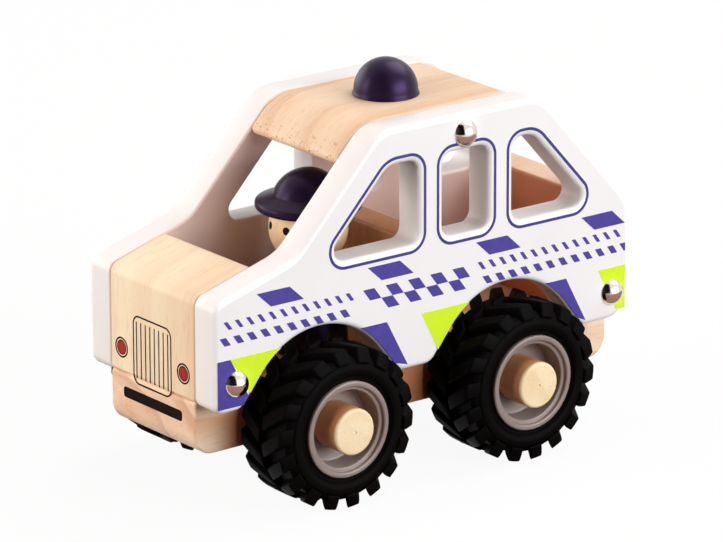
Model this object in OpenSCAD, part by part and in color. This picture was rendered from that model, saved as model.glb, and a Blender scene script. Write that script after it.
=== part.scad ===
// Wooden toy patrol car: two painted side panels screwed to a glued wooden core,
// four rubber-tyred wheels that turn on turned pegs, a roof light and a peg-doll driver.
// Forward is -Y, the car's left is +X, up is +Z, and the floor is at Z = 0.

/* [Side panels] */
// Length of a side panel
panel_len = 160; // [150:1:175]
// Thickness of a side panel
panel_t = 10.5; // [9:0.5:13]
// Height of a panel's lower edge above the axles
sill_up = 9.3; // [8:0.1:10.5]
// Height of the hood line at the nose above the lower edge, as a share of the panel's length
nose_share = 0.2156; // [0.19:0.001:0.235]
// Slope of the hood
hood_angle = 16.4; // [12:0.1:20]
// Distance from the nose back to the foot of the windshield, as a share of the panel's length
cowl_share = 0.19; // [0.175:0.001:0.205]
// Slope of the windshield
shield_angle = 46.7; // [44:0.1:52]
// Height of the roof above the lower edge, as a share of the panel's length
roof_share = 0.4845; // [0.465:0.001:0.51]
// Distance from the tail forward to the end of the roof, as a share of the panel's length
tail_share = 0.2216; // [0.2:0.001:0.23]
// Slope of the tail
tail_angle = 48.4; // [45:0.1:52]
// Corner radius at the nose
nose_r = 4; // [2:0.1:6]
// Fillet radius at the foot of the windshield
cowl_r = 15; // [8:0.5:20]
// Corner radius at both ends of the roof
roof_r = 12; // [6:0.5:15]
// Corner radius at the tail's shoulder
shoulder_r = 14; // [6:0.5:18]
// Corner radius at the front lower corner, as a share of the foot between the nose and the arch
chin_share = 0.35; // [0.1:0.01:0.45]
// Corner radius at the rear lower corner
heel_r = 8; // [3:0.1:9]

/* [Wheel arches] */
// Gap between a tyre and its arch
arch_gap = 2.8; // [2.4:0.1:3.4]
// Height of an arch's centre above the axle
arch_rise = 1.4; // [1:0.1:2]
// Distance of the front arch's centre ahead of the front axle
arch_lead = 0.9; // [0:0.1:1.5]
// Flare of an arch's legs from upright
arch_flare = 38; // [34:0.5:42]
// Corner radius where an arch's leg meets the lower edge, as a share of the shortest foot there
foot_share = 0.5; // [0.2:0.01:0.55]

/* [Windows] */
// Height of the window sills above the panel's lower edge, as a share of the panel's length
belt_share = 0.2456; // [0.236:0.001:0.26]
// Height of the window heads above the panel's lower edge, as a share of the panel's length
head_share = 0.4119; // [0.39:0.001:0.42]
// Width of the middle window, as a share of the panel's length
mid_window_share = 0.1113; // [0.09:0.001:0.12]
// Distance of the middle window's centre behind the panel's middle, as a share of its length
mid_place_share = 0.0969; // [0.085:0.001:0.11]
// Width of the pillars beside the middle window, as a share of the panel's length
pillar_share = 0.0588; // [0.045:0.001:0.065]
// Width of the sloped pillar at the windshield, as a share of the panel's length
front_pillar_share = 0.0644; // [0.05:0.001:0.07]
// Width of the sloped pillar at the tail, as a share of the panel's length
rear_pillar_share = 0.06; // [0.05:0.001:0.07]
// Corner radius of the windows
window_r = 3.6; // [2:0.1:4]
// Larger corner radius at the sloped windows' heads
window_head_r = 7; // [4:0.1:7.5]

/* [Core] */
// Width of the core between the panels
core_w = 43.4; // [40:0.2:50]
// Distance of the chassis plank's underside below the axles
plank_drop = 6.6; // [6:0.1:8]
// Thickness of the chassis plank
plank_t = 17.3; // [16.5:0.1:18]
// Radius of the plank's rounded lower ends
plank_r = 6.7; // [3:0.1:8]
// Length of the hood block, as a share of the panel's length
hood_share = 0.145; // [0.12:0.001:0.155]
// Radius of the hood block's rear top edge
hood_edge_r = 3.4; // [1:0.1:5]
// Length of the rear block
tail_len = 15; // [13:0.1:17]
// Height of the rear block's top above the panel's lower edge, as a share of the panel's length
tail_rise_share = 0.2606; // [0.235:0.001:0.28]
// Radius of the rear block's rear top edge
tail_edge_r = 6; // [3:0.1:10]
// Thickness of the seat board behind the driver
seat_t = 10.6; // [9:0.1:13]
// Distance of the seat board's front behind the panel's middle, as a share of the panel's length
seat_place_share = 0.0035; // [0:0.0005:0.02]
// Height of the seat board, as a share of the panel's length
seat_rise_share = 0.227; // [0.2:0.001:0.235]
// Radius of the seat board's top edges
seat_edge_r = 1.2; // [0.5:0.1:3]
// Thickness of the roof plank
roof_t = 11.9; // [10:0.1:13]
// Distance of the roof plank's front behind the windshield line
roof_front_gap = 0; // [0:0.1:3]
// Distance of the roof plank's rear end ahead of the roof's corner
roof_rear_gap = 4; // [2:0.1:6]
// Radius of the roof plank's front top edge
roof_front_r = 18; // [2:0.1:22]
// Radius of the roof plank's front lower edge
roof_lip_r = 2; // [0.5:0.1:3]
// Radius of the roof plank's rear top edge
roof_rear_r = 2; // [0.5:0.1:4]

/* [Wheels] */
// Distance between the axles, as a share of the panel's length
wheelbase_share = 0.4456; // [0.435:0.001:0.46]
// Distance of the front axle behind the nose, as a share of the panel's length
overhang_share = 0.2538; // [0.25:0.001:0.262]
// Radius of a tyre over its lugs
tyre_r = 25.5; // [24:0.1:26.5]
// Width of a tyre
tyre_w = 22.2; // [20:0.1:24]
// Gap between a tyre and the core beside it
tyre_side_gap = 1; // [0.8:0.1:1.6]
// Radius of the tyre's bore, as a share of its outer radius
bore_share = 0.557; // [0.53:0.001:0.57]
// Height of the tread lugs, as a share of the tyre's section
lug_share = 0.25; // [0.15:0.01:0.28]
// Number of lugs on each side of the tread
lug_count = 18; // [12:1:20]
// Width of a lug at its tip
lug_w = 4.9; // [3:0.1:5.5]
// Widening of a lug at its root
lug_flare = 0.9; // [0:0.1:1]
// Turn of a lug from the tyre's shoulder to the middle of the tread
lug_turn = 17; // [5:0.5:22]
// Gap between the two rows of lugs at the middle of the tread
lug_row_gap = 1.2; // [0.6:0.1:3]
// Height of the smooth sidewall from the bore up to the lugs, as a share of the tyre's section
sidewall_share = 0.57; // [0.45:0.01:0.62]
// Height of a hub's lips over the tyre's bore
lip_h = 0.95; // [0.5:0.05:1.5]
// Thickness of a hub's lips
lip_t = 1.5; // [1:0.1:2.5]
// Width of a hub's outer lip face
lip_w = 1.75; // [1:0.05:2]
// Depth of the step inside a hub's outer lip
step_d = 1.3; // [0.6:0.1:2]
// Width of the step inside a hub's outer lip
step_w = 1.25; // [0.6:0.05:1.5]
// Depth of a hub's dish
dish_d = 8.7; // [6:0.1:10]
// Thickness of a hub's web
web_t = 4; // [3:0.1:5]
// Radius of a hub's bearing boss
boss_r = 7; // [6:0.1:8]

/* [Axle pegs] */
// Radius of a peg's shank
peg_r = 4; // [3:0.1:4.5]
// Depth of a peg in the chassis plank
peg_depth = 16; // [10:0.5:18]
// Radius of a peg's head
peg_head_r = 7.3; // [5:0.1:7.6]
// Distance of a peg's end out from the hub's face
peg_proud = 3; // [1:0.1:5]
// Edge radius of a peg's head
peg_edge_r = 0.9; // [0.4:0.1:1.5]
// Radius of the centre mark in a peg's head
peg_mark_r = 0.7; // [0.3:0.1:1]
// Radial clearance of a hub on its peg
run_gap = 0.05; // [0.02:0.01:0.09]
// End play of a wheel at the peg's head
end_play = 0.4; // [0.3:0.05:0.8]

/* [Screws] */
// Radius of a screw's dome head
screw_head_r = 4.35; // [3:0.05:4.8]
// Height of a screw's dome head
screw_head_h = 3; // [2:0.1:3.4]
// Radius of a screw's shank
screw_r = 1.75; // [1.2:0.05:2]
// Depth of a screw in the core
screw_bite = 13; // [8:0.5:16]
// Height of the lower screws above a panel's lower edge
screw_up = 8.6; // [7:0.1:11]
// Place of the front screws from the nose to the arch at their height, as a share of that distance
screw_nose_share = 0.485; // [0.45:0.005:0.52]
// Place of the rear screws from the tail to the arch at their height, as a share of that distance
screw_tail_share = 0.25; // [0.2:0.005:0.35]
// Distance of the roof screws behind the panel's middle, as a share of the panel's length
screw_roof_share = 0.0944; // [0:0.001:0.15]
// Height of the roof screws above the roof plank's underside, as a share of its thickness
screw_rise_share = 0.455; // [0.4:0.005:0.6]

/* [Roof light] */
// Radius of the roof light's dome
light_r = 10; // [8:0.1:13]
// Height of the straight foot under the dome
light_foot_h = 1.4; // [0.4:0.1:2]
// Widening of the foot under the dome
light_foot_w = 0.45; // [0.1:0.05:1]
// Distance of the roof light behind the panel's middle, as a share of the panel's length
light_share = 0.0581; // [0.03:0.001:0.12]
// Radius of the roof light's tenon
tenon_r = 4; // [2:0.1:5]
// Length of the roof light's tenon
tenon_l = 6; // [3:0.1:8]

/* [Driver] */
// Distance of the driver ahead of the panel's middle, as a share of the panel's length
driver_share = 0.1294; // [0.115:0.001:0.138]
// Radius of the driver's head
head_r = 12.3; // [11:0.1:13]
// Height of the head's centre above the chassis plank, as a share of the panel's length
head_rise_share = 0.2438; // [0.232:0.001:0.255]
// Depth of the head's flat neck below its centre
neck_down = 10.2; // [9:0.1:10.5]
// Height of the head's flat crown above its centre
crown_up = 6.1; // [4.5:0.1:6.5]
// Radius of the driver's body at its base
body_base_r = 12.2; // [10:0.1:13]
// Radius of the driver's body at its shoulder
body_top_r = 10.4; // [8:0.1:12]
// Radius of the rounded shoulder
body_shoulder_r = 4.8; // [2:0.1:5]
// Edge radius at the foot of the body
body_foot_r = 1.2; // [0.4:0.1:2]
// Radius of the cap's brim
brim_r = 16.5; // [14:0.1:18]
// Thickness of the brim at its edge
brim_t = 2.6; // [1.5:0.1:3]
// Rise of the brim up to the cap's crown
brim_rise = 2.2; // [1:0.1:4]
// Radius of the cap's crown at the brim
cap_r = 11; // [9:0.1:12]
// Height of the cap's crown above the brim
cap_h = 7.7; // [6:0.1:10]
// Edge radius of the brim
brim_edge_r = 1.1; // [0.5:0.1:1.3]

/* [Fits] */
// Clearance of glued pegs, tenons and screws in their holes
seat_gap = 0.02; // [0.01:0.01:0.05]
// Clearance of a tyre on its hub
tyre_gap = 0.02; // [0.01:0.01:0.05]

/* [Hidden] */
$fn = 96;
overrun = 1;

nose_y = -panel_len / 2;
tail_y = panel_len / 2;
core_x = core_w / 2;
face_x = core_x + panel_t;
axle_z = tyre_r;
plank_z = axle_z - plank_drop;
plank_top = plank_z + plank_t;
front_y = nose_y + overhang_share * panel_len;
rear_y = front_y + wheelbase_share * panel_len;

// Heights of the side view, up from the panel's lower edge
sill_z = axle_z + sill_up;
nose_z = sill_z + nose_share * panel_len;
roof_z = sill_z + roof_share * panel_len;
belt_z = sill_z + belt_share * panel_len;
head_z = sill_z + head_share * panel_len;
tail_z = sill_z + tail_rise_share * panel_len;

// Corners of the panel's upper outline
cowl_setback = cowl_share * panel_len;
tail_setback = tail_share * panel_len;
cowl_y = nose_y + cowl_setback;
cowl_z = nose_z + cowl_setback * tan(hood_angle);
roof_front_y = cowl_y + (roof_z - cowl_z) / tan(shield_angle);
roof_end_y = tail_y - tail_setback;
shoulder_z = roof_z - tail_setback * tan(tail_angle);

// Wheel arches: a leg leaves the circle at the flare angle and runs down to the lower edge
arch_r = tyre_r + arch_gap;
arch_z = axle_z + arch_rise;
arch_front_y = front_y - arch_lead;
arch_leg_y = arch_r * cos(arch_flare);
arch_leg_z = arch_z + arch_r * sin(arch_flare);
arch_foot_y = arch_leg_y + (arch_leg_z - sill_z) * tan(arch_flare);

// Feet of the panel beside and between the arches
front_foot = arch_front_y - arch_foot_y - nose_y;
middle_foot = rear_y - arch_front_y - 2 * arch_foot_y;
chin_r = chin_share * front_foot;
foot_r = foot_share * min(front_foot, middle_foot);

// Windows: the sloped edges run parallel to the windshield and to the tail
function shield_y(z) = cowl_y + (z - cowl_z) / tan(shield_angle);
function tail_line_y(z) = roof_end_y + (roof_z - z) / tan(tail_angle);
front_pillar_y = front_pillar_share * panel_len / sin(shield_angle);
rear_pillar_y = rear_pillar_share * panel_len / sin(tail_angle);
pillar_w = pillar_share * panel_len;
mid_front_y = (mid_place_share - mid_window_share / 2) * panel_len;
mid_rear_y = (mid_place_share + mid_window_share / 2) * panel_len;

// Blocks between the panels
hood_len = hood_share * panel_len;
seat_y = seat_place_share * panel_len;
seat_top = plank_top + seat_rise_share * panel_len;
light_y = light_share * panel_len;

// Wheel places along X
wheel_in = core_x + tyre_side_gap;
wheel_out = wheel_in + tyre_w;
hub_in = core_x + end_play;
hub_floor = wheel_out - dish_d;
peg_end = wheel_out + peg_proud;
peg_seat = hub_floor + end_play;
tyre_bore_r = bore_share * tyre_r;
lip_r = tyre_bore_r + lip_h;
barrel_r = tyre_bore_r - tyre_gap;
dish_r = lip_r - lip_w - step_w;

// Tyre section
tyre_mid = (wheel_in + wheel_out) / 2;
tyre_half = tyre_w / 2;
tyre_section = tyre_r - tyre_bore_r;
lug_h = lug_share * tyre_section;
sidewall_h = sidewall_share * tyre_section;
carcass_r = tyre_r - lug_h;
side_r = tyre_bore_r + sidewall_h;
bead_x = tyre_half - lip_t - tyre_gap;
bead_r = lip_r + tyre_gap;
bulge_share = 0.45;
shoulder_share = 0.25;
lug_root_share = 0.35;
tip_share = 0.88;

// Driver
driver_y = driver_share * panel_len;
driver_head_z = plank_top + head_rise_share * panel_len;
neck_z = driver_head_z - neck_down;
cap_z = driver_head_z + crown_up;
crown_z = cap_z + brim_t + brim_rise;
crown_r = (cap_r * cap_r + cap_h * cap_h) / (2 * cap_h);

// Screws
screw_ball_r = (screw_head_r * screw_head_r + screw_head_h * screw_head_h) / (2 * screw_head_h);
screw_arch_y = arch_foot_y - screw_up * tan(arch_flare);
screw_nose_y = screw_nose_share * (arch_front_y - screw_arch_y - nose_y);
screw_tail_y = screw_tail_share * (tail_y - rear_y - screw_arch_y);
screw_spots = [
  [nose_y + screw_nose_y, sill_z + screw_up],
  [tail_y - screw_tail_y, sill_z + screw_up],
  [screw_roof_share * panel_len, roof_z - roof_t + screw_rise_share * roof_t]
];

// Outline with a radius at each corner: the points are [y, z, radius], counter-clockwise
function flat(p) = [p[0], p[1]];
function unit(v) = v / norm(v);
function before(p, i) = unit(flat(p[(i + len(p) - 1) % len(p)]) - flat(p[i]));
function after(p, i) = unit(flat(p[(i + 1) % len(p)]) - flat(p[i]));
function half_turn(p, i) = acos(before(p, i) * after(p, i)) / 2;
function convex(p, i) = cross(after(p, i), before(p, i)) > 0;
function reach(p, i) = p[i][2] / tan(half_turn(p, i));
function mid_way(p, i) = unit(before(p, i) + after(p, i));
function round_centre(p, i) = flat(p[i]) + mid_way(p, i) * p[i][2] / sin(half_turn(p, i));
function corner(p, i) = p[i][2] == 0
  ? [flat(p[i])]
  : [flat(p[i]) + before(p, i) * reach(p, i), flat(p[i]) + after(p, i) * reach(p, i)];

// The round end of one corner: the part of its circle between the two tangent points
module round_end(p, i) {
  intersection() {
    translate(round_centre(p, i)) circle(r = p[i][2]);
    polygon(concat([flat(p[i])], [corner(p, i)[1], round_centre(p, i), corner(p, i)[0]]));
  }
}

module rounded(p) {
  difference() {
    union() {
      polygon([for (i = [0 : len(p) - 1]) each corner(p, i)]);
      for (i = [0 : len(p) - 1]) {
        if (p[i][2] > 0 && convex(p, i)) round_end(p, i);
      }
    }
    for (i = [0 : len(p) - 1]) {
      if (p[i][2] > 0 && !convex(p, i)) round_end(p, i);
    }
  }
}

// Lays a side-view outline across the car, from X = x for the width w
module across(x, w) {
  translate([x, 0, 0]) rotate([90, 0, 90]) linear_extrude(height = w) children();
}

// Turns a profile of [radius, place] about an axis along X at [y, z]
module turned(y, z) {
  translate([0, y, z]) rotate([0, 90, 0]) rotate_extrude() children();
}

module to_right() {
  mirror([1, 0, 0]) children();
}

module panel_edge() {
  rounded([
    [nose_y, sill_z, chin_r],
    [arch_front_y - arch_foot_y, sill_z, foot_r],
    [arch_front_y - arch_leg_y, arch_leg_z, 0],
    [arch_front_y + arch_leg_y, arch_leg_z, 0],
    [arch_front_y + arch_foot_y, sill_z, foot_r],
    [rear_y - arch_foot_y, sill_z, foot_r],
    [rear_y - arch_leg_y, arch_leg_z, 0],
    [rear_y + arch_leg_y, arch_leg_z, 0],
    [rear_y + arch_foot_y, sill_z, foot_r],
    [tail_y, sill_z, heel_r],
    [tail_y, shoulder_z, shoulder_r],
    [roof_end_y, roof_z, roof_r],
    [roof_front_y, roof_z, roof_r],
    [cowl_y, cowl_z, cowl_r],
    [nose_y, nose_z, nose_r]
  ]);
}

module window_holes() {
  rounded([
    [shield_y(belt_z) + front_pillar_y, belt_z, window_r],
    [mid_front_y - pillar_w, belt_z, window_r],
    [mid_front_y - pillar_w, head_z, window_r],
    [shield_y(head_z) + front_pillar_y, head_z, window_head_r]
  ]);
  rounded([
    [mid_front_y, belt_z, window_r],
    [mid_rear_y, belt_z, window_r],
    [mid_rear_y, head_z, window_r],
    [mid_front_y, head_z, window_r]
  ]);
  rounded([
    [mid_rear_y + pillar_w, belt_z, window_r],
    [tail_line_y(belt_z) - rear_pillar_y, belt_z, window_r],
    [tail_line_y(head_z) - rear_pillar_y, head_z, window_head_r],
    [mid_rear_y + pillar_w, head_z, window_r]
  ]);
}

module panel() {
  across(core_x, panel_t) difference() {
    panel_edge();
    translate([arch_front_y, arch_z]) circle(r = arch_r);
    translate([rear_y, arch_z]) circle(r = arch_r);
    window_holes();
    for (s = screw_spots) translate(s) circle(r = screw_r + seat_gap);
  }
}

// Holes in the core for the screws on both sides
module screw_holes(i) {
  for (side = [0, 1]) mirror([side, 0, 0]) {
    turned(screw_spots[i][0], screw_spots[i][1])
      translate([0, core_x - screw_bite]) square([screw_r + seat_gap, screw_bite + overrun]);
  }
}

module chassis_plank() {
  color("burlywood") difference() {
    across(-core_x, core_w) rounded([
      [nose_y, plank_z, plank_r],
      [tail_y, plank_z, plank_r],
      [tail_y, plank_top, 0],
      [nose_y, plank_top, 0]
    ]);
    for (y = [front_y, rear_y], side = [0, 1]) mirror([side, 0, 0]) {
      turned(y, axle_z)
        translate([0, core_x - peg_depth]) square([peg_r + seat_gap, peg_depth + overrun]);
    }
  }
}

module hood_block() {
  hood_rear_z = nose_z + hood_len * tan(hood_angle);
  color("wheat") difference() {
    across(-core_x, core_w) rounded([
      [nose_y, plank_top, 0],
      [nose_y + hood_len, plank_top, 0],
      [nose_y + hood_len, hood_rear_z, hood_edge_r],
      [nose_y, nose_z, nose_r]
    ]);
    screw_holes(0);
  }
}

module rear_block() {
  color("wheat") difference() {
    across(-core_x, core_w) rounded([
      [tail_y - tail_len, plank_top, 0],
      [tail_y, plank_top, 0],
      [tail_y, tail_z, tail_edge_r],
      [tail_y - tail_len, tail_z, 0]
    ]);
    screw_holes(1);
  }
}

module seat_board() {
  color("wheat") across(-core_x, core_w) rounded([
    [seat_y, plank_top, 0],
    [seat_y + seat_t, plank_top, 0],
    [seat_y + seat_t, seat_top, seat_edge_r],
    [seat_y, seat_top, seat_edge_r]
  ]);
}

module roof_plank() {
  roof_low = roof_z - roof_t;
  roof_tail = roof_end_y - roof_rear_gap;
  color("wheat") difference() {
    across(-core_x, core_w) rounded([
      [shield_y(roof_low) + roof_front_gap, roof_low, roof_lip_r],
      [roof_tail, roof_low, 0],
      [roof_tail, roof_z, roof_rear_r],
      [roof_front_y + roof_front_gap, roof_z, roof_front_r]
    ]);
    screw_holes(2);
    translate([0, light_y, roof_z - tenon_l])
      cylinder(r = tenon_r + seat_gap, h = tenon_l + overrun);
  }
}

module roof_light() {
  color("indigo") translate([0, light_y, roof_z]) {
    cylinder(r = light_r + light_foot_w, h = light_foot_h);
    rotate_extrude() intersection() {
      translate([0, light_foot_h]) circle(r = light_r);
      translate([0, light_foot_h]) square([light_r, light_r]);
    }
    translate([0, 0, -tenon_l + seat_gap]) cylinder(r = tenon_r, h = tenon_l);
  }
}

module driver_body() {
  color("indigo") translate([0, -driver_y, 0]) rotate_extrude() rounded([
    [0, plank_top, 0],
    [body_base_r, plank_top, body_foot_r],
    [body_top_r, neck_z, body_shoulder_r],
    [0, neck_z, 0]
  ]);
}

module driver_head() {
  color("tan") translate([0, -driver_y, driver_head_z]) rotate_extrude() intersection() {
    circle(r = head_r);
    translate([0, -neck_down]) square([head_r, neck_down + crown_up]);
  }
}

module driver_cap() {
  color("indigo") translate([0, -driver_y, 0]) rotate_extrude() {
    rounded([
      [0, cap_z, 0],
      [brim_r, cap_z, brim_edge_r],
      [brim_r, cap_z + brim_t, brim_edge_r],
      [cap_r, crown_z, 0],
      [0, crown_z, 0]
    ]);
    intersection() {
      translate([0, crown_z + cap_h - crown_r]) circle(r = crown_r);
      translate([0, crown_z]) square([cap_r, cap_h]);
    }
  }
}

// Peg: a shank glued in the plank, and a head that keeps the wheel on
module peg(y) {
  color("burlywood") difference() {
    turned(y, axle_z) {
      translate([0, core_x - peg_depth + seat_gap]) square([peg_r, peg_seat + peg_depth - core_x]);
      rounded([
        [0, peg_seat, 0],
        [peg_head_r, peg_seat, 0],
        [peg_head_r, peg_end, peg_edge_r],
        [0, peg_end, 0]
      ]);
    }
    translate([peg_end, y, axle_z]) sphere(r = peg_mark_r);
  }
}

// Hub: a bearing boss and a web inside a barrel with a lip at each end
module hub(y) {
  color("darkgray") turned(y, axle_z) polygon([
    [peg_r + run_gap, hub_in],
    [boss_r, hub_in],
    [boss_r, hub_floor - web_t],
    [dish_r, hub_floor - web_t],
    [dish_r, wheel_in],
    [lip_r, wheel_in],
    [lip_r, wheel_in + lip_t],
    [barrel_r, wheel_in + lip_t],
    [barrel_r, wheel_out - lip_t],
    [lip_r, wheel_out - lip_t],
    [lip_r, wheel_out],
    [lip_r - lip_w, wheel_out],
    [lip_r - lip_w, wheel_out - step_d],
    [dish_r, wheel_out - step_d],
    [dish_r, hub_floor],
    [peg_r + run_gap, hub_floor]
  ]);
}

// One lug, from the shoulder to the middle of the tread, leaning by lug_turn
lug_in = lug_row_gap / 2;
lug_side = [
  [lug_in, carcass_r - lug_root_share * lug_h],
  [lug_in, tyre_r],
  [tip_share * tyre_half, tyre_r],
  [tyre_half, side_r + shoulder_share * (carcass_r - side_r)],
  [tip_share * tyre_half, side_r]
];
function lug_wide(r) = (lug_w + lug_flare * (tyre_r - r) / lug_h) / 2;
function lug_angle(p, flank) = lug_turn * (1 - p[0] / tyre_half) + flank * lug_wide(p[1]) / tyre_r * 180 / PI;
function lug_point(p, flank) = [
  tyre_mid + p[0],
  p[1] * sin(lug_angle(p, flank)),
  -p[1] * cos(lug_angle(p, flank))
];

module lug() {
  n = len(lug_side);
  points = [for (flank = [-1, 1]) for (p = lug_side) lug_point(p, flank)];
  faces = concat(
    [for (i = [1 : n - 2]) [0, i + 1, i]],
    [for (i = [1 : n - 2]) [n, n + i, n + i + 1]],
    [for (i = [0 : n - 1]) [i, (i + 1) % n, n + i]],
    [for (i = [0 : n - 1]) [(i + 1) % n, n + (i + 1) % n, n + i]]
  );
  polyhedron(points, faces);
}

// Tyre: a turned carcass with a bulged sidewall, and two rows of leaning lugs, half a pitch apart
module tyre(y) {
  pitch = 360 / lug_count;
  lug_start = -lug_angle(lug_side[2], -1);
  color("dimgray") {
    turned(y, axle_z) translate([0, tyre_mid]) polygon([
      [tyre_bore_r, -bead_x],
      [bead_r, -bead_x],
      [bead_r, -tyre_half + lip_t / 2],
      [tyre_bore_r + bulge_share * sidewall_h, -tyre_half],
      [side_r, -tyre_half + lip_t / 2],
      [carcass_r, -tip_share * tyre_half],
      [carcass_r, tip_share * tyre_half],
      [side_r, tyre_half - lip_t / 2],
      [tyre_bore_r + bulge_share * sidewall_h, tyre_half],
      [bead_r, tyre_half - lip_t / 2],
      [bead_r, bead_x],
      [tyre_bore_r, bead_x]
    ]);
    translate([0, y, axle_z]) {
      for (i = [0 : lug_count - 1]) {
        rotate([lug_start + i * pitch, 0, 0]) lug();
        rotate([lug_start + (i + 1 / 2) * pitch, 0, 0])
          translate([2 * tyre_mid, 0, 0]) mirror([1, 0, 0]) lug();
      }
    }
  }
}

// Dome-head screw through a panel into the core
module screw(i) {
  color("silver") turned(screw_spots[i][0], screw_spots[i][1]) {
    translate([0, core_x - screw_bite + seat_gap]) square([screw_r, screw_bite + panel_t]);
    intersection() {
      translate([0, face_x + screw_head_h - screw_ball_r]) circle(r = screw_ball_r);
      translate([0, face_x]) square([screw_head_r, screw_head_h]);
    }
  }
}

module panel_left() {
  color("whitesmoke") panel();
}

module panel_right() {
  color("whitesmoke") to_right() panel();
}

panel_left();
panel_right();
chassis_plank();
hood_block();
rear_block();
seat_board();
roof_plank();
roof_light();
driver_body();
driver_head();
driver_cap();
peg(front_y);  // peg_front_left
to_right() peg(front_y);  // peg_front_right
peg(rear_y);  // peg_rear_left
to_right() peg(rear_y);  // peg_rear_right
hub(front_y);  // hub_front_left
to_right() hub(front_y);  // hub_front_right
hub(rear_y);  // hub_rear_left
to_right() hub(rear_y);  // hub_rear_right
tyre(front_y);  // tyre_front_left
to_right() tyre(front_y);  // tyre_front_right
tyre(rear_y);  // tyre_rear_left
to_right() tyre(rear_y);  // tyre_rear_right
screw(0);  // screw_front_left
to_right() screw(0);  // screw_front_right
screw(1);  // screw_rear_left
to_right() screw(1);  // screw_rear_right
screw(2);  // screw_roof_left
to_right() screw(2);  // screw_roof_right
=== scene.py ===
import math

import bmesh
import bpy
import numpy as np
from mathutils import Matrix, Vector
from mathutils.geometry import tessellate_polygon


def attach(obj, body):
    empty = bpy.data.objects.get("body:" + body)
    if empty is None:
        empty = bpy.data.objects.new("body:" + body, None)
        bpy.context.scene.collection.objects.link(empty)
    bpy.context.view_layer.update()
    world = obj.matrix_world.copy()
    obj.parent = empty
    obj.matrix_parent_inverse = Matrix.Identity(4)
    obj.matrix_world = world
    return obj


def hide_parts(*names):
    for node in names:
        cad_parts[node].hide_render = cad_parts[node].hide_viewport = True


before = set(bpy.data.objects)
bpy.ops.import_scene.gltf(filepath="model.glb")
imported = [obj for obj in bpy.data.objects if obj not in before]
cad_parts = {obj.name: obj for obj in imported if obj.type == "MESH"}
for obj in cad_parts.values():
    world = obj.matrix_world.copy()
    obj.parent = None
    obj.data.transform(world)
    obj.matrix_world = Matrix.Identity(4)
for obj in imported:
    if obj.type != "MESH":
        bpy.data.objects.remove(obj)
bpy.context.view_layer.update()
mm = 0.001
print("frame loaded:", len(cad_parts), "nodes")

# the photograph's view, worked out from the car's own edges: degrees, and millimetres
camera = {
    "azimuth": 52.518, "elevation": 17.707, "roll": -0.126,
    "place": (1373.53, -1053.53, 609.42), "lens": 292.62, "sensor": 36.0, "clip": (0.1, 50.0),
}


def makeCamera(c):
    # right, up and back vectors from azimuth and elevation, then a small roll in the picture plane
    a, e, r = np.radians([c["azimuth"], c["elevation"], c["roll"]])
    right = np.array([np.cos(a), np.sin(a), 0.0])
    back = np.array([np.sin(a) * np.cos(e), -np.cos(a) * np.cos(e), np.sin(e)])
    up = np.cross(back, right)
    right, up = np.cos(r) * right + np.sin(r) * up, np.cos(r) * up - np.sin(r) * right
    data = bpy.data.cameras.new("photoCamera")
    data.lens, data.sensor_width, data.sensor_fit = c["lens"], c["sensor"], "HORIZONTAL"
    data.clip_start, data.clip_end = c["clip"]
    obj = bpy.data.objects.new("photoCamera", data)
    bpy.context.collection.objects.link(obj)
    turn = Matrix(np.column_stack([right, up, back]).tolist())
    obj.matrix_world = Matrix.Translation(Vector(c["place"]) * mm) @ turn.to_4x4()
    bpy.context.scene.camera = obj


makeCamera(camera)
print("camera set")

# mesh clean-up: distance in m under which points are one, and length in m under which an edge goes
cleanUp = {"merge": 2e-7, "sliver": 1e-7}


def gridFaces(rows, cols, wrapCols=False):
    # quads between neighbouring rows and columns of a grid, the columns wrapping round where asked
    r, c = np.meshgrid(np.arange(rows - 1), np.arange(cols if wrapCols else cols - 1), indexing="ij")
    c2 = (c + 1) % cols
    quads = [r * cols + c, r * cols + c2, (r + 1) * cols + c2, (r + 1) * cols + c]
    return np.stack(quads, -1).reshape(-1, 4)


def makePiece(name, parts, material, body, replaces=(), sharp=40.0):
    # parts are points in mm with blocks of faces: joined, doubles merged, faces turned outwards,
    # and shaded smooth up to the sharp angle
    starts = np.cumsum([0] + [len(v) for v, blocks in parts])
    faces = [f for (v, blocks), s in zip(parts, starts)
             for b in blocks for f in (np.asarray(b) + s).tolist()]
    mesh = bpy.data.meshes.new(name)
    mesh.from_pydata((np.concatenate([v for v, blocks in parts]) * mm).tolist(), [], faces)
    work = bmesh.new()
    work.from_mesh(mesh)
    bmesh.ops.remove_doubles(work, verts=work.verts, dist=cleanUp["merge"])
    bmesh.ops.dissolve_degenerate(work, edges=work.edges, dist=cleanUp["sliver"])
    bmesh.ops.recalc_face_normals(work, faces=work.faces)
    work.to_mesh(mesh)
    work.free()
    mesh.shade_smooth()
    mesh.set_sharp_from_angle(angle=math.radians(sharp))
    mesh.materials.append(material)
    obj = bpy.data.objects.new(name, mesh)
    bpy.context.collection.objects.link(obj)
    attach(obj, body)
    for nodeName in replaces:
        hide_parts(nodeName)
    return obj


def lathe(profile, centre, axis, steps=64):
    # a profile of [radius, height] carried round an axis: radius to cos and sin, height along the axis
    p = np.asarray(profile, float)
    t = np.linspace(0, 2 * np.pi, steps, endpoint=False)
    ring = np.stack([np.outer(p[:, 0], np.cos(t)), np.outer(p[:, 0], np.sin(t))], -1)
    high = np.repeat(p[:, 1:], steps, 1)[..., None]
    pts = np.concatenate([high, ring], -1) if axis == "x" else np.concatenate([ring, high], -1)
    return pts.reshape(-1, 3) + np.asarray(centre, float), [gridFaces(len(p), steps, True)]


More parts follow.
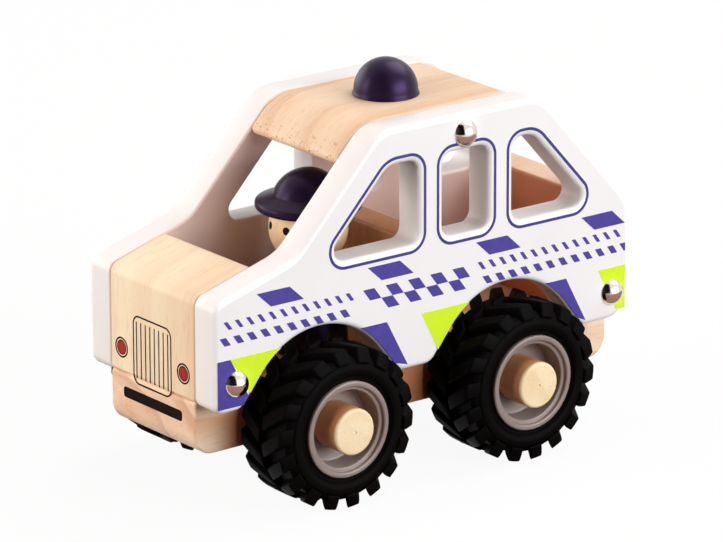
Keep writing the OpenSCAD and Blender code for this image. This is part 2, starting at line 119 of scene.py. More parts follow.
def roundPath(corners, step=9.0):
    # closed line through corners [a, b, radius]: straight runs joined by tangent arcs
    p, pts = np.asarray(corners, float), []
    for i in range(len(p)):
        here, r = p[i, :2], p[i, 2]
        if r <= 0:
            pts.append(here[None])
            continue
        u, v = p[i - 1, :2] - here, p[(i + 1) % len(p), :2] - here
        u, v = u / np.linalg.norm(u), v / np.linalg.norm(v)
        half = math.acos(np.clip(u @ v, -1, 1)) / 2
        centre = here + (u + v) / np.linalg.norm(u + v) * r / math.sin(half)
        start, end = here + u * r / math.tan(half) - centre, here + v * r / math.tan(half) - centre
        a0 = math.atan2(start[1], start[0])
        turn = (math.atan2(end[1], end[0]) - a0 + math.pi) % (2 * math.pi) - math.pi
        t = a0 + np.linspace(0, turn, max(2, int(abs(math.degrees(turn)) / step) + 2))
        pts.append(centre + r * np.stack([np.cos(t), np.sin(t)], 1))
    return np.concatenate(pts)


def arcPath(centre, r, a0, a1, step=4.0):
    # points on a circle between two angles in degrees
    t = np.radians(np.linspace(a0, a1, max(2, int(abs(a1 - a0) / step) + 1)))
    return np.asarray(centre, float) + r * np.stack([np.cos(t), np.sin(t)], 1)


def inset(loop, d):
    # a closed line moved sideways by d, to its left, with mitred corners
    e = np.roll(loop, -1, 0) - loop
    n = np.stack([-e[:, 1], e[:, 0]], 1) / np.linalg.norm(e, axis=1, keepdims=True)
    before = np.roll(n, 1, 0)
    return loop + d * (n + before) / (1 + (n * before).sum(1, keepdims=True))


def signedArea(loop):
    # half the sum of the cross products of neighbouring points
    q = np.roll(loop, -1, 0)
    return 0.5 * np.sum(loop[:, 0] * q[:, 1] - q[:, 0] * loop[:, 1])


def slab(loops, c0, c1, edge0, edge1, place, rounds=5, border=0.3):
    # flat board: its edge lines are carried through a profile with a quarter round at each face, a narrow
    # flat border keeps the shading true, and the faces are filled between the lines. place puts [a, b, c]
    # into X, Y, Z
    t = np.linspace(0, np.pi / 2, rounds + 1)
    low, high = np.array([[0, c0]]), np.array([[0, c1]])
    if edge0:
        low = np.stack([edge0 * (1 - np.sin(t)), c0 + edge0 * (1 - np.cos(t))], 1)
        low = np.concatenate([[[edge0 + border, c0]], low])
    if edge1:
        high = np.stack([edge1 * (1 - np.cos(t)), c1 - edge1 * (1 - np.sin(t))], 1)
        high = np.concatenate([high, [[edge1 + border, c1]]])
    profile = np.concatenate([low, high])
    loops = [l if (signedArea(l) > 0) == (i == 0) else l[::-1] for i, l in enumerate(loops)]
    parts, caps = [], ([], [])
    for loop in loops:
        rings = [np.column_stack([inset(loop, d), np.full(len(loop), c)]) for d, c in profile]
        parts.append((place(np.concatenate(rings)), [gridFaces(len(profile), len(loop), True)]))
        caps[0].append(rings[0])
        caps[1].append(rings[-1])
    for cap in caps:
        tris = tessellate_polygon([[Vector(v) for v in ring] for ring in cap])
        parts.append((place(np.concatenate(cap)), [np.array(tris)]))
    return parts


def onSide(p):
    # [y, z, x] to X, Y, Z
    return p[:, [2, 0, 1]]


def onRight(p):
    # the same on the car's right, mirrored
    return p[:, [2, 0, 1]] * np.array([-1, 1, 1])


def onFront(p):
    # [x, z, distance ahead] to X, Y, Z
    return np.stack([p[:, 0], -p[:, 2], p[:, 1]], 1)


def newMaterial(name):
    m = bpy.data.materials.new(name)
    m.use_nodes = True
    return m, m.node_tree, m.node_tree.nodes["Principled BSDF"]


def addNode(tree, kind, **values):
    n = tree.nodes.new(kind)
    for key, value in values.items():
        if key in n.inputs:
            n.inputs[key].default_value = value
        else:
            setattr(n, key, value)
    return n


def objectCoords(tree, scale=(1, 1, 1), place=(0, 0, 0)):
    coord = addNode(tree, "ShaderNodeTexCoord")
    mapping = addNode(tree, "ShaderNodeMapping", Scale=scale, Location=place)
    tree.links.new(coord.outputs["Object"], mapping.inputs["Vector"])
    return mapping.outputs["Vector"]


def addNoise(tree, scale, detail=3.0, rough=0.55, bend=0.0, place=(0, 0, 0)):
    # noise on object coordinates, with its own scale along each axis
    n = addNode(tree, "ShaderNodeTexNoise", Scale=1.0, Detail=detail, Roughness=rough, Distortion=bend)
    tree.links.new(objectCoords(tree, scale, place), n.inputs["Vector"])
    return n.outputs["Fac"]


def ramp(tree, value, stops):
    n = addNode(tree, "ShaderNodeValToRGB")
    e = n.color_ramp.elements
    while len(e) < len(stops):
        e.new(0.5)
    for spot, (at, colour) in zip(e, stops):
        spot.position, spot.color = at, (*colour, 1.0)
    tree.links.new(value, n.inputs["Fac"])
    return n.outputs["Color"]


def mixColour(tree, factor, a, b):
    n = addNode(tree, "ShaderNodeMix", data_type="RGBA")
    for value, socket in ((factor, n.inputs[0]), (a, n.inputs[6]), (b, n.inputs[7])):
        if isinstance(value, bpy.types.NodeSocket):
            tree.links.new(value, socket)
        else:
            socket.default_value = (*value, 1.0)
    return n.outputs[2]


def addBump(tree, shader, height, strength, distance):
    n = addNode(tree, "ShaderNodeBump", Strength=strength, Distance=distance)
    tree.links.new(height, n.inputs["Height"])
    tree.links.new(n.outputs["Normal"], shader.inputs["Normal"])


def zone(tree, spans):
    # product of soft steps on object coordinates: each span is an axis and the two places in mm between
    # which the step climbs from 0 to 1, the coordinate folded about the middle plane
    parts = addNode(tree, "ShaderNodeSeparateXYZ")
    tree.links.new(objectCoords(tree), parts.inputs[0])
    value = None
    for axis, start, end in spans:
        fold = addNode(tree, "ShaderNodeMath", operation="ABSOLUTE")
        step = addNode(tree, "ShaderNodeMapRange", interpolation_type="SMOOTHSTEP")
        ends = (min(start, end) * mm, max(start, end) * mm) + ((0, 1) if end > start else (1, 0))
        for socket, number in zip(("From Min", "From Max", "To Min", "To Max"), ends):
            step.inputs[socket].default_value = number
        tree.links.new(parts.outputs[axis], fold.inputs[0])
        tree.links.new(fold.outputs[0], step.inputs["Value"])
        if value is None:
            value = step.outputs["Result"]
            continue
        both = addNode(tree, "ShaderNodeMath", operation="MULTIPLY")
        tree.links.new(value, both.inputs[0])
        tree.links.new(step.outputs["Result"], both.inputs[1])
        value = both.outputs[0]
    return value


def roughRange(tree, shader, value, low, high):
    n = addNode(tree, "ShaderNodeMapRange")
    n.inputs["To Min"].default_value, n.inputs["To Max"].default_value = low, high
    tree.links.new(value, n.inputs["Value"])
    tree.links.new(n.outputs["Result"], shader.inputs["Roughness"])


def srgb(r, g, b):
    # screen colour 0 to 255 as linear light
    c = np.array([r, g, b]) / 255.0
    return tuple(np.where(c <= 0.04045, c / 12.92, ((c + 0.055) / 1.055) ** 2.4))


# the last tone of the plank, tail and peg is painted shade for their shaded zones
woodTones = {
    "block": {"pale": srgb(247, 229, 196), "warm": srgb(241, 214, 180), "line": srgb(210, 158, 116)},
    "roof": {"pale": srgb(243, 219, 191), "warm": srgb(237, 204, 169), "line": srgb(200, 144, 102),
             "pit": srgb(158, 100, 66)},
    # seat: darker, redder tones than the other woods, painted shade for a board that sits in the cabin's shade
    "seat": {"pale": srgb(226, 164, 112), "warm": srgb(212, 146, 94), "line": srgb(170, 104, 62)},
    "plank": {"pale": srgb(245, 220, 192), "warm": srgb(232, 188, 150), "line": srgb(186, 120, 78),
              "paintedShade": srgb(198, 128, 84)},
    "tail": {"pale": srgb(240, 212, 182), "warm": srgb(234, 198, 164), "line": srgb(205, 150, 108),
             "paintedShade": srgb(206, 128, 88)},
    "peg": {"pale": srgb(247, 228, 188), "warm": srgb(240, 212, 166), "line": srgb(212, 170, 120),
            "paintedShade": srgb(206, 142, 92)},
    "head": {"pale": srgb(234, 205, 166), "warm": srgb(225, 190, 146), "line": srgb(210, 160, 104)},
}
# what all woods share: where each pattern starts and is full on its noise, its strength, gloss and pores
woodLook = {
    "bandStops": (0.36, 0.66), "ringScale": 0.4, "ringBend": 4.5, "ringFine": 0.8, "ringStops": (0.6, 0.95),
    "poreStops": (0.55, 0.76), "poreTone": 0.5, "pitScale": (520, 700, 900), "pitStops": (0.6, 0.68),
    "pitTone": 0.75, "rough": (0.45, 0.62), "bump": (0.25, 0.0002), "coat": 0.08, "coatRough": 0.4,
}


def makeWood(name, tones, bands, grain, rings=0.3, place=(0, 0, 0), paintedShade=None, pits=None):
    # soft colour bands, thin year lines bent by a slow noise, and fine pores drawn out along the grain,
    # with a darker, redder tone as painted shade in a shaded zone, and small dark pits in the zone that pits gives
    m, tree, shader = newMaterial(name)
    k, black = woodLook, (0, 0, 0)
    slow = addNoise(tree, bands, 2.0, 0.5, 0.5, place)
    base = ramp(tree, slow, [(k["bandStops"][0], tones["pale"]), (k["bandStops"][1], tones["warm"])])
    year = addNode(tree, "ShaderNodeTexWave", Scale=1.0, Distortion=k["ringBend"], Detail=2.0,
                   wave_type="BANDS", bands_direction="DIAGONAL", wave_profile="SAW")
    year.inputs["Detail Scale"].default_value = k["ringFine"]
    tree.links.new(objectCoords(tree, tuple(b * k["ringScale"] for b in bands), place), year.inputs["Vector"])
    # painted shade: the shaded zone takes the darker, redder tone
    if paintedShade:
        base = mixColour(tree, zone(tree, paintedShade), base, tones["paintedShade"])
    start, full = k["ringStops"]
    lines = ramp(tree, year.outputs["Fac"], [(start, black), (full, (rings,) * 3), (1.0, black)])
    ringed = mixColour(tree, lines, base, tones["line"])
    pores = addNoise(tree, grain, 3.0, 0.6, 0.0, place)
    start, full = k["poreStops"]
    specks = ramp(tree, pores, [(start, black), (full, (k["poreTone"],) * 3)])
    colours = mixColour(tree, specks, ringed, tones["line"])
    if pits:
        start, full = k["pitStops"]
        spots = ramp(tree, addNoise(tree, k["pitScale"], 2.0, 0.6), [(start, black), (full, (k["pitTone"],) * 3)])
        dots = addNode(tree, "ShaderNodeMath", operation="MULTIPLY")
        tree.links.new(spots, dots.inputs[0])
        tree.links.new(zone(tree, pits), dots.inputs[1])
        colours = mixColour(tree, dots.outputs[0], colours, tones["pit"])
    tree.links.new(colours, shader.inputs["Base Color"])
    roughRange(tree, shader, pores, *k["rough"])
    addBump(tree, shader, pores, *k["bump"])
    shader.inputs["Coat Weight"].default_value = k["coat"]
    shader.inputs["Coat Roughness"].default_value = k["coatRough"]
    return m


def makeFinish(name, colour, worn, cloud, rough, peel, strength,
               coat=0.0, metal=0.0, shine=0.5, tint=(1, 1, 1), thin=None):
    # painted or moulded surface: a cloud in the colour and the gloss, and a fine skin as bump; thin gives
    # a zone with another colour, used as painted shade
    m, tree, shader = newMaterial(name)
    slow = addNoise(tree, cloud, 4.0, 0.58)
    colours = ramp(tree, slow, [(0.35, colour), (0.72, worn)])
    # painted shade: the zone that thin gives takes another colour
    if thin:
        colours = mixColour(tree, zone(tree, thin[0]), colours, thin[1])
    tree.links.new(colours, shader.inputs["Base Color"])
    roughRange(tree, shader, slow, *rough)
    addBump(tree, shader, addNoise(tree, (peel,) * 3, 2.0), strength, 0.0001)
    shader.inputs["Metallic"].default_value = metal
    shader.inputs["Specular IOR Level"].default_value = shine
    shader.inputs["Specular Tint"].default_value = (*tint, 1)
    shader.inputs["Coat Weight"].default_value = coat
    shader.inputs["Coat Roughness"].default_value = 0.2
    return m


def evenly(s):
    return (s, s, s)


def makeInk(name, colour, worn, shine=0.25):
    # printed film: all inks share their cloud, gloss and skin
    return makeFinish(name, colour, worn, evenly(420), (0.4, 0.52), 1500.0, 0.05, shine=shine)


# each wood: bands and pores as scales along X, Y and Z, low along the grain
blockWood = makeWood("blockWood", woodTones["block"], (70, 7, 8), (1500, 120, 130), rings=0.16)
# the seat board's wood: a darker, redder copy of the block wood, as painted shade
shadedSeatWood = makeWood("shadedSeatWood", woodTones["seat"], (60, 60, 7), (1300, 1300, 120))
roofWood = makeWood("roofWood", woodTones["roof"], (80, 6, 10), (1400, 110, 260),
                    place=(3.1, 0.4, 1.7), pits=[("Z", 109.5, 102.5)])
# painted shade on the plank's sides between the wheels, fading out towards its ends
plankWood = makeWood("plankWood", woodTones["plank"], (55, 6, 75), (1300, 110, 1300), rings=0.42,
                     paintedShade=[("X", 20.9, 21.5), ("Y", 75, 62)])
# painted shade on the rear block's front face, which faces into the cabin
tailWood = makeWood("tailWood", woodTones["tail"], (70, 7, 8), (1500, 120, 130), rings=0.16,
                    place=(1.3, 2.2, 0.6), paintedShade=[("Y", 66.0, 65.2)])
# painted shade on the peg's side down in the hub's dish, with its end face left pale
pegWood = makeWood("pegWood", woodTones["peg"], (16, 90, 90), (150, 1500, 1500), rings=0.15,
                   paintedShade=[("X", 47.3, 46.2)])
headWood = makeWood("headWood", woodTones["head"], (80, 80, 12), (1300, 1300, 150), rings=0.1)
# each finish: two colours, the cloud's scale, the range of roughness, and the skin's scale and strength
# the panels' inner faces take a warm pinkish colour: painted shade, warm from the wood around it
panelPaint = makeFinish("panelPaint", srgb(243, 242, 241), srgb(240, 238, 236), evenly(26), (0.34, 0.44),
                        700.0, 0.06, coat=0.15, thin=([("X", 22.4, 21.75)], srgb(232, 206, 196)))
darkPaint = makeFinish("darkPaint", srgb(22, 13, 31), srgb(28, 16, 38), evenly(40), (0.3, 0.38),
                       900.0, 0.08, shine=0.28, tint=(0.7, 0.42, 1.0))
tyreRubber = makeFinish("tyreRubber", srgb(4, 3, 3), srgb(8, 6, 5), evenly(60), (0.5, 0.65),
                        1800.0, 0.2, shine=0.035)
hubPlastic = makeFinish("hubPlastic", srgb(138, 124, 118), srgb(152, 138, 132), evenly(45), (0.26, 0.36),
                        2200.0, 0.1)
screwChrome = makeFinish("screwChrome", srgb(226, 214, 206), srgb(238, 230, 224), (400, 2600, 500), (0.1, 0.17),
                         900.0, 0.01, metal=1.0)
blueInk = makeInk("blueInk", srgb(72, 61, 150), srgb(79, 68, 156))
lineInk = makeInk("lineInk", srgb(56, 56, 128), srgb(64, 64, 136))
neonInk = makeInk("neonInk", srgb(210, 242, 32), srgb(214, 244, 46))
blackInk = makeInk("blackInk", srgb(14, 9, 7), srgb(24, 17, 13), shine=0.06)
redInk = makeInk("redInk", srgb(158, 30, 34), srgb(172, 42, 44))
print("materials made")

# side panels
panel = {
    "noseY": -80.0, "tailY": 80.0, "sillZ": 34.8, "noseZ": 69.296, "roofZ": 112.32,
    "hoodAngle": 16.4, "cowlBack": 30.4, "shieldAngle": 46.7, "tailBack": 35.456, "tailAngle": 48.4,
    "noseR": 4.0, "cowlR": 15.0, "roofR": 12.0, "shoulderR": 14.0, "chinR": 3.489, "heelR": 8.0, "footR": 4.984,
    "archR": 28.3, "archZ": 26.9, "archY": (-40.292, 31.904), "archFlare": 38.0,
    "beltZ": 74.096, "headZ": 100.704, "midW": 17.808, "midY": 15.504, "pillarW": 9.408,
    "frontPillar": 10.304, "rearPillar": 9.6, "windowR": 3.6, "windowHeadR": 7.0,
    "inX": 21.7, "outX": 32.2, "edge": 1.6, "innerEdge": 0.9,
}


def tanD(d):
    return math.tan(math.radians(d))


def sinD(d):
    return math.sin(math.radians(d))


cowlZ = panel["noseZ"] + panel["cowlBack"] * tanD(panel["hoodAngle"])
shoulderZ = panel["roofZ"] - panel["tailBack"] * tanD(panel["tailAngle"])
archLegY = panel["archR"] * sinD(90 - panel["archFlare"])
archLegZ = panel["archZ"] + panel["archR"] * sinD(panel["archFlare"])
archFootY = archLegY + (archLegZ - panel["sillZ"]) * tanD(panel["archFlare"])


def shieldY(z):
    # the windshield's line from the cowl up
    return panel["noseY"] + panel["cowlBack"] + (z - cowlZ) / tanD(panel["shieldAngle"])


def tailLineY(z):
    # the tail's line from the roof down
    return panel["tailY"] - panel["tailBack"] + (panel["roofZ"] - z) / tanD(panel["tailAngle"])


def panelOutline(p):
    # once round the side view: sill, the two arches as flared legs under a circle, tail, roof, shield, hood
    corners = [[p["noseY"], p["sillZ"], p["chinR"]]]
    for y in p["archY"]:
        arc = arcPath((y, p["archZ"]), p["archR"], 180 - p["archFlare"], p["archFlare"])
        corners += [[y - archFootY, p["sillZ"], p["footR"]]] + [[a, b, 0] for a, b in arc]
        corners += [[y + archFootY, p["sillZ"], p["footR"]]]
    corners += [
        [p["tailY"], p["sillZ"], p["heelR"]], [p["tailY"], shoulderZ, p["shoulderR"]],
        [tailLineY(p["roofZ"]), p["roofZ"], p["roofR"]], [shieldY(p["roofZ"]), p["roofZ"], p["roofR"]],
        [shieldY(cowlZ), cowlZ, p["cowlR"]], [p["noseY"], p["noseZ"], p["noseR"]]]
    return roundPath(corners, 5.0)


def windowLoops(p):
    # three openings: the outer two have an edge parallel to the windshield or to the tail
    a, b = p["midY"] - p["midW"] / 2, p["midY"] + p["midW"] / 2
    f, t = p["frontPillar"] / sinD(p["shieldAngle"]), p["rearPillar"] / sinD(p["tailAngle"])
    low, high, r = p["beltZ"], p["headZ"], p["windowR"]
    front = [[shieldY(low) + f, low, r], [a - p["pillarW"], low, r],
             [a - p["pillarW"], high, r], [shieldY(high) + f, high, p["windowHeadR"]]]
    middle = [[a, low, r], [b, low, r], [b, high, r], [a, high, r]]
    rear = [[b + p["pillarW"], low, r], [tailLineY(low) - t, low, r],
            [tailLineY(high) - t, high, p["windowHeadR"]], [b + p["pillarW"], high, r]]
    return [roundPath(c, 6.0) for c in (front, middle, rear)]


outline, windows = panelOutline(panel), windowLoops(panel)
for side, place in (("left", onSide), ("right", onRight)):
    board = slab([outline] + windows, panel["inX"], panel["outX"], panel["innerEdge"], panel["edge"], place)
    makePiece("panelBoard_" + side, board, panelPaint, "body", ["panel_" + side], 30)
print("panels made")

# print on the panels: thin ink films, each a leaning block or a line
ink = {
    "lift": 0.05, "sink": 0.02, "archGap": 0.6, "archPoints": 9, "legRise": 1.4, "noseLegZ": 38.9,
    "barTop": 70.2, "barLow": 65.3, "barStart": -64.4, "barStep": 41.83, "barW": 12.3, "barLean": 5.3, "bars": 4,
    "thinTop": 63.7, "thinLow": 61.1, "thinW": 1.4, "thinLean": 1.9, "thinStep": 4.15,
    "thickTop": 58.8, "thickLow": 56.2, "thickW": 2.35, "thickLean": 1.8, "thickStep": 4.98,
    "frontThin": (-76.7, 12), "rearThin": (19.9, 14), "frontThick": (-78.2, 10), "rearThick": (21.8, 12),
    "checkTop": 51.6, "checkLow": 36.4, "checkLean": 0.53, "endY": 79.0, "endStep": 0.002,
    "blueStarts": (-74.3, -15.3, 55.1), "neonStarts": (-74.3, -2.0, 68.0), "neonLow": (39.7, 38.7, 37.5),
    "bandTop": 63.4, "bandLow": 56.1, "bandStart": -24.4, "bandW": 4.3, "bandCols": 9, "bandLean": 2.7,
    "ringGap": 2.2, "ringW": 0.95,
}


def leaning(y, top, low, w, lean):
    # parallelogram whose lower edge is moved back by lean, cut off at the tail
    p = np.array([[y + lean, low], [y + lean + w, low], [y + w, top], [y, top]])
    end = ink["endY"] + ink["endStep"] * np.arange(len(p))
    return np.column_stack([np.minimum(p[:, 0], end), p[:, 1]])


def archEdge(i, z0, z1, way, gap):
    # the arch's edge between two heights, kept gap away: its flared leg below, its circle above
    p, z = panel, np.linspace(z0, z1, ink["archPoints"])
    leg = archLegY + (archLegZ - z) * tanD(p["archFlare"]) + gap / sinD(90 - p["archFlare"])
    circle = np.sqrt(np.maximum((p["archR"] + gap) ** 2 - (z - p["archZ"]) ** 2, 0))
    return np.stack([p["archY"][i] + way * np.where(z < archLegZ, leg, circle), z], 1)


def leaningRow(k, kind, start, count):
    # a row of leaning blocks, each one step behind the last
    size = [k[kind + part] for part in ("Top", "Low", "W", "Lean")]
    return [leaning(start + i * k[kind + "Step"], *size) for i in range(count)]


def blueShapes(k):
    # bars, dashes, a plain check band in the middle of the door, and the blocks beside the arches
    shapes = leaningRow(k, "bar", k["barStart"], k["bars"])
    for kind in ("thin", "thick"):
        for end in ("front", "rear"):
            shapes += leaningRow(k, kind, *k[end + kind.title()])
    rowH = (k["bandTop"] - k["bandLow"]) / 2
    for i in range(k["bandCols"]):
        start, top = k["bandStart"] + i * k["bandW"] + (i % 2) * k["bandLean"], k["bandTop"] - (i % 2) * rowH
        shapes.append(leaning(start, top, top - rowH, k["bandW"], k["bandLean"]))
    top, low, gap, (a, b, c) = k["checkTop"], k["checkLow"], k["archGap"], k["blueStarts"]
    back, legZ, nose = (top - low) * k["checkLean"], low + k["legRise"], -k["endY"]
    noseLeg = archEdge(0, low, k["noseLegZ"], -1, gap)
    shapes.append(np.concatenate([[[nose, low]], noseLeg, [[a, top], [nose, top]]]))
    shapes.append(np.concatenate([archEdge(0, top, legZ, 1, gap), [[b + back, low], [b, top]]]))
    shapes.append(np.concatenate([archEdge(1, top, legZ, 1, gap), [[c + back, low], [c, top]]]))
    return shapes


def neonShapes(k):
    # the three bright blocks: two against the front of an arch, one at the tail
    top, gap, end, (a, b, c) = k["checkTop"], k["archGap"], k["endY"], k["neonStarts"]
    front, middle, rear = k["neonLow"]
    back = (top - rear) * k["checkLean"]
    return [np.concatenate([archEdge(0, front, top, -1, gap), [[a, top]]]),
            np.concatenate([archEdge(1, middle, top, -1, gap), [[b, top]]]),
            np.array([[c + back, rear], [end, rear], [end, top], [c, top]])]


def filmParts(shapes, place, at):
    # each shape, or line between two loops, as a closed film on the surface
    low, high = at - ink["sink"], at + ink["lift"]
    loops = [s if isinstance(s, list) else [s] for s in shapes]
    return [part for l in loops for part in slab(l, low, high, 0, 0, place)]


halfRing = ink["ringW"] / 2
rings = [[inset(w, -ink["ringGap"] - halfRing), inset(w, -ink["ringGap"] + halfRing)] for w in windows]
prints = {
    "bluePrint": (blueShapes(ink), blueInk), "neonPrint": (neonShapes(ink), neonInk), "windowLine": (rings, lineInk),
}
for side, place in (("left", onSide), ("right", onRight)):
    for printName, (shapes, film) in prints.items():
        parts = filmParts(shapes, place, panel["outX"])
        makePiece(printName + "_" + side, parts, film, "body", sharp=20)
print("panel print made")

# wooden core: plank, hood block, rear block, seat board and roof
core = {
    "halfW": 21.66, "inkDepth": 0.06, "plankZ": 18.9, "plankTop": 36.2, "plankR": 6.7,
    "hoodLen": 23.2, "hoodEdge": 3.4, "tailLen": 15.0, "tailZ": 76.496, "tailEdge": 6.0,
    "seatY": 0.56, "seatT": 10.6, "seatTop": 72.52, "seatEdge": 1.2,
    "roofT": 11.9, "roofRearGap": 4.0, "roofFrontR": 18.0, "roofLipR": 2.0, "roofRearR": 2.0,
    "edge": 0.7, "fine": 1.2,
}


def corePaths(c, p):
    # side views of the blocks, as corners with a radius each
    nose, tail, top, fine = p["noseY"] + c["inkDepth"], p["tailY"], c["plankTop"], c["fine"]
    cowl, cowlTop = nose + c["hoodLen"], p["noseZ"] + c["hoodLen"] * tanD(p["hoodAngle"])
    gate, seat, seatBack, roofZ = tail - c["tailLen"], c["seatY"], c["seatY"] + c["seatT"], p["roofZ"]
    roofLow, roofTail = roofZ - c["roofT"], tailLineY(roofZ) - c["roofRearGap"]
    return {
        "chassis_plank": [[nose, c["plankZ"], c["plankR"]], [tail, c["plankZ"], c["plankR"]],
                          [tail, top, fine], [nose, top, fine]],
        "hood_block": [[nose, top, fine], [cowl, top, fine],
                       [cowl, cowlTop, c["hoodEdge"]], [nose, p["noseZ"], p["noseR"]]],
        "rear_block": [[gate, top, fine], [tail, top, fine],
                       [tail, c["tailZ"], c["tailEdge"]], [gate, c["tailZ"], fine]],
        "seat_board": [[seat, top, fine], [seatBack, top, fine],
                       [seatBack, c["seatTop"], c["seatEdge"]], [seat, c["seatTop"], c["seatEdge"]]],
        "roof_plank": [[shieldY(roofLow), roofLow, c["roofLipR"]], [roofTail, roofLow, fine],
                       [roofTail, roofZ, c["roofRearR"]], [shieldY(roofZ), roofZ, c["roofFrontR"]]],
    }


woodOf = {
    "chassis_plank": (plankWood, "plank_wood"), "hood_block": (blockWood, "block_wood"),
    "rear_block": (tailWood, "block_wood"), "seat_board": (shadedSeatWood, "block_wood"),
    "roof_plank": (roofWood, "block_wood"),
}
for nodeName, corners in corePaths(core, panel).items():
    wood, slotName = woodOf[nodeName]
    board = slab([roundPath(corners, 6.0)], -core["halfW"], core["halfW"], core["edge"], core["edge"], onSide)
    makePiece("wood_" + nodeName, board, wood, "body", [nodeName], 35)
print("core made")

# print on the front: grille, lamps and a bare bar
face = {
    "at": 79.94, "lampX": 16.0, "lampZ": 44.1, "lampR": 3.3, "lampRing": 0.55, "lampInner": 2.4, "lensR": 2.05,
    "grilleW": 9.95, "grilleLow": 34.3, "grilleHigh": 56.4, "grilleR": 3.0, "stroke": 0.55,
    "bars": 8, "barStep": 2.31, "barLow": 36.4, "barHigh": 54.4, "barW": 0.5,
    "plateW": 15.1, "plateLow": 28.6, "plateHigh": 32.0, "plateR": 1.0,
}


def box2(x0, z0, x1, z1, r):
    return roundPath([[x0, z0, r], [x1, z0, r], [x1, z1, r], [x0, z1, r]], 12.0)


def circle2(x, z, r):
    return arcPath((x, z), r, 0, 360, 9.0)[:-1]


def faceShapes(f):
    # a rounded frame with upright bars, a plate, and two rings for each lamp
    w, s, first = f["grilleW"], f["stroke"], -(f["bars"] - 1) / 2 * f["barStep"]
    shapes = [[box2(-w, f["grilleLow"], w, f["grilleHigh"], f["grilleR"]),
               box2(-w + s, f["grilleLow"] + s, w - s, f["grilleHigh"] - s, f["grilleR"] - s)],
              [box2(-f["plateW"], f["plateLow"], f["plateW"], f["plateHigh"], f["plateR"])]]
    for x in first + np.arange(f["bars"]) * f["barStep"]:
        shapes.append([box2(x - f["barW"] / 2, f["barLow"], x + f["barW"] / 2, f["barHigh"], f["barW"] * 0.4)])
    for x in (-f["lampX"], f["lampX"]):
        shapes.append([circle2(x, f["lampZ"], f["lampR"]), circle2(x, f["lampZ"], f["lampR"] - f["lampRing"])])
        shapes.append([circle2(x, f["lampZ"], f["lampInner"]), circle2(x, f["lampZ"], f["lensR"])])
    return shapes


lenses = [[circle2(x, face["lampZ"], face["lensR"])] for x in (-face["lampX"], face["lampX"])]
for printName, shapes, film in (("frontPrint", faceShapes(face), blackInk), ("lampPrint", lenses, redInk)):
    makePiece(printName, filmParts(shapes, onFront, face["at"]), film, "body", sharp=20)
print("front print made")


def arcProfile(r, cz, a0, a1, count=14):
    # points of a circle about the axis, between two angles from level
    t = np.radians(np.linspace(a0, a1, count))
    return np.stack([r * np.cos(t), cz + r * np.sin(t)], 1)


# roof light: a low flared foot under a half ball
light = {
    "y": 9.296, "z": 112.32, "r": 10.0, "footH": 1.4, "footW": 0.45, "steps": 72,
    "foot": ((1.0, -0.1, 0.0), (1.0, 0.0, 0.12), (0.9, 0.0, 0.4), (0.35, 0.0, 0.75)),
}


def domeProfile(k):
    # the foot's points are a share of its width plus a step, with their height; the ball starts just above
    foot = [[k["r"] + k["footW"] * share + step, high] for share, step, high in k["foot"]]
    neck = [k["r"] + 0.04, k["footH"] * 0.8]
    return np.concatenate([[[0, 0]], foot, [neck], arcProfile(k["r"], k["footH"], 3, 90, 24)])


dome = lathe(domeProfile(light), (0, light["y"], light["z"]), "z", light["steps"])
makePiece("roofLightDome", [dome], darkPaint, "body", ["roof_light"])
print("roof light made")

# driver: turned body, ball head and cap, with two painted eyes
driver = {
    "y": -20.704, "footZ": 36.2, "headZ": 75.208, "headR": 12.3, "neck": 10.2, "crown": 6.1,
    "baseR": 12.2, "topR": 10.4, "shoulderR": 4.8, "footR": 1.2,
    "brimR": 16.5, "brimT": 2.6, "brimRise": 2.2, "capR": 11.0, "capH": 7.7, "brimEdge": 1.1,
    "eyeX": 4.0, "eyeUp": 1.5, "eyeR": 1.25, "eyeLift": 0.06, "eyeSink": 0.03, "eyeRings": 5, "eyeSteps": 28,
    "bodySteps": 56, "headSteps": 64, "capSteps": 72,
}


def makeDriver(d):
    # three turned pieces stacked on one axis
    neckZ, capZ = d["headZ"] - d["neck"], d["headZ"] + d["crown"]
    brimZ, centre = capZ + d["brimT"], (0, d["y"], 0)
    crownZ = brimZ + d["brimRise"]
    body = roundPath([[0, d["footZ"], 0], [d["baseR"], d["footZ"], d["footR"]],
                      [d["topR"], neckZ, d["shoulderR"]], [0, neckZ, 0]])
    low, high = (math.degrees(math.asin(v / d["headR"])) for v in (-d["neck"], d["crown"]))
    head = np.concatenate([[[0, neckZ]], arcProfile(d["headR"], d["headZ"], low, high, 26), [[0, capZ]]])
    ballR = (d["capR"] ** 2 + d["capH"] ** 2) / (2 * d["capH"])
    ballZ = crownZ + d["capH"] - ballR
    brim = roundPath([[0, capZ, 0], [d["brimR"], capZ, d["brimEdge"]],
                      [d["brimR"], brimZ, d["brimEdge"]], [d["capR"], crownZ, 0]])
    crown = arcProfile(ballR, ballZ, math.degrees(math.asin((crownZ - ballZ) / ballR)), 90, 18)[1:]
    cap = np.concatenate([brim, crown])
    for name, profile, steps, finish, nodeName, slotName in (
            ("driverBodyPeg", body, d["bodySteps"], darkPaint, "driver_body", "dark_paint"),
            ("driverHeadBall", head, d["headSteps"], headWood, "driver_head", "head_wood"),
            ("driverCapTurned", cap, d["capSteps"], darkPaint, "driver_cap", "dark_paint")):
        makePiece(name, [lathe(profile, centre, "z", steps)], finish, "body", [nodeName])


